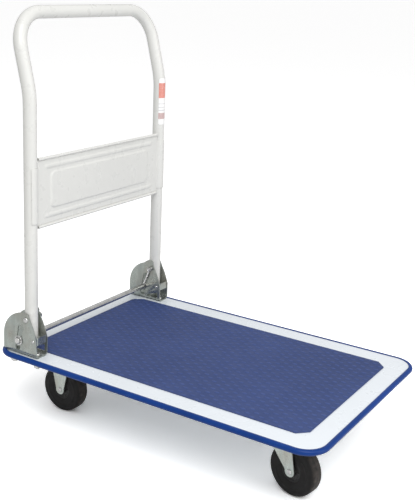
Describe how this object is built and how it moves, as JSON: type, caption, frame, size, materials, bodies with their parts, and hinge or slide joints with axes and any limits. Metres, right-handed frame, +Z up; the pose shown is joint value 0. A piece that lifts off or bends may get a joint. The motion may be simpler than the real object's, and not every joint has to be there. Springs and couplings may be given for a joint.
{
  "type": "platform trolley",
  "caption": "Flat steel deck with a blue bumper and anti-slip mat on fixed and swivel casters, with a fold-down tubular push handle and a foot-operated lock bar.",
  "frame": {"origin": "on the floor, under the middle of the deck", "axes": "+X towards the front end, away from the handle; +Y towards the left side; +Z up"},
  "size_m": [0.74, 0.48, 0.8437],
  "materials": {
    "white_paint": "white powder coat, satin",
    "deck_paint": "very pale grey-blue powder coat, satin",
    "blue_pvc": "soft blue PVC, slightly glossy",
    "blue_mat": "embossed blue-grey anti-slip sheet, dull",
    "zinc": "zinc-plated pressed steel with a faint passivation tint",
    "steel": "bright plated steel",
    "tyre": "smooth black rubber",
    "hub_plastic": "black moulded nylon",
    "label": "plain white sticker, no lettering"
  },
  "bodies": {
    "chassis": {"deck_plate": "deck_paint", "edge_bumper": "blue_pvc", "anti_slip_mat": "blue_mat", "rear_cross_channel": "deck_paint", "front_cross_channel": "deck_paint", "left_deck_rib": "deck_paint", "left_bracket": "zinc", "left_stop_strap": "zinc", "left_bracket_bolt_1": "steel", "left_bracket_bolt_2": "steel", "left_bracket_nut_1": "steel", "left_bracket_nut_2": "steel", "left_pivot_bolt": "steel", "left_pivot_nut": "steel", "left_outer_strap_rivet": "steel", "left_inner_strap_rivet": "steel", "left_rigid_housing": "zinc", "left_rigid_axle": "steel", "left_swivel_plate": "zinc", "left_bearing_cup": "zinc", "left_kingpin": "steel", "right_deck_rib": "deck_paint", "right_bracket": "zinc", "right_stop_strap": "zinc", "right_bracket_bolt_1": "steel", "right_bracket_bolt_2": "steel", "right_bracket_nut_1": "steel", "right_bracket_nut_2": "steel", "right_pivot_bolt": "steel", "right_pivot_nut": "steel", "right_outer_strap_rivet": "steel", "right_inner_strap_rivet": "steel", "right_rigid_housing": "zinc", "right_rigid_axle": "steel", "right_swivel_plate": "zinc", "right_bearing_cup": "zinc", "right_kingpin": "steel"},
    "handle": {"handle_tube": "white_paint", "handle_panel": "white_paint", "handle_label": "label"},
    "lock_bar": {"lock_bar": "steel", "left_bar_clip": "steel", "right_bar_clip": "steel", "left_lock_spring": "steel", "right_lock_spring": "steel"},
    "left_swivel": {"left_swivel_fork": "zinc", "left_ball_race": "steel", "left_swivel_axle": "steel"},
    "left_rear_wheel": {"left_rear_tyre": "tyre", "left_rear_hub": "hub_plastic"},
    "left_front_wheel": {"left_front_tyre": "tyre", "left_front_hub": "hub_plastic"},
    "right_swivel": {"right_swivel_fork": "zinc", "right_ball_race": "steel", "right_swivel_axle": "steel"},
    "right_rear_wheel": {"right_rear_tyre": "tyre", "right_rear_hub": "hub_plastic"},
    "right_front_wheel": {"right_front_tyre": "tyre", "right_front_hub": "hub_plastic"}
  },
  "joints": [
    {"name": "handle_fold", "type": "hinge", "parent": "chassis", "child": "handle", "pos_m": [-0.2872, 0, 0.2285], "axis": [0, 1, 0], "range_deg": [0, 97]},
    {"name": "lock_bar_press", "type": "slide", "parent": "chassis", "child": "lock_bar", "axis": [-0.1843, 0, -0.9829], "range_m": [0, 0.015], "stiffness_N_per_m": 2000, "springref_m": -0.005, "deforming": ["left_lock_spring", "right_lock_spring"]},
    {"name": "left_swivel_turn", "type": "hinge", "parent": "chassis", "child": "left_swivel", "pos_m": [0.2448, 0.125, 0.1], "axis": [0, 0, 1], "continuous": true},
    {"name": "left_rear_wheel_spin", "type": "hinge", "parent": "chassis", "child": "left_rear_wheel", "pos_m": [-0.2722, 0.125, 0.05], "axis": [0, 1, 0], "continuous": true},
    {"name": "left_front_wheel_spin", "type": "hinge", "parent": "left_swivel", "child": "left_front_wheel", "pos_m": [0.21057, 0.13228, 0.05], "axis": [0.2079, 0.9781, 0], "continuous": true},
    {"name": "right_swivel_turn", "type": "hinge", "parent": "chassis", "child": "right_swivel", "pos_m": [0.2448, -0.125, 0.1], "axis": [0, 0, 1], "continuous": true},
    {"name": "right_rear_wheel_spin", "type": "hinge", "parent": "chassis", "child": "right_rear_wheel", "pos_m": [-0.2722, -0.125, 0.05], "axis": [0, 1, 0], "continuous": true},
    {"name": "right_front_wheel_spin", "type": "hinge", "parent": "right_swivel", "child": "right_front_wheel", "pos_m": [0.27929, -0.13096, 0.05], "axis": [0.1702, 0.9854, 0], "continuous": true}
  ]
}
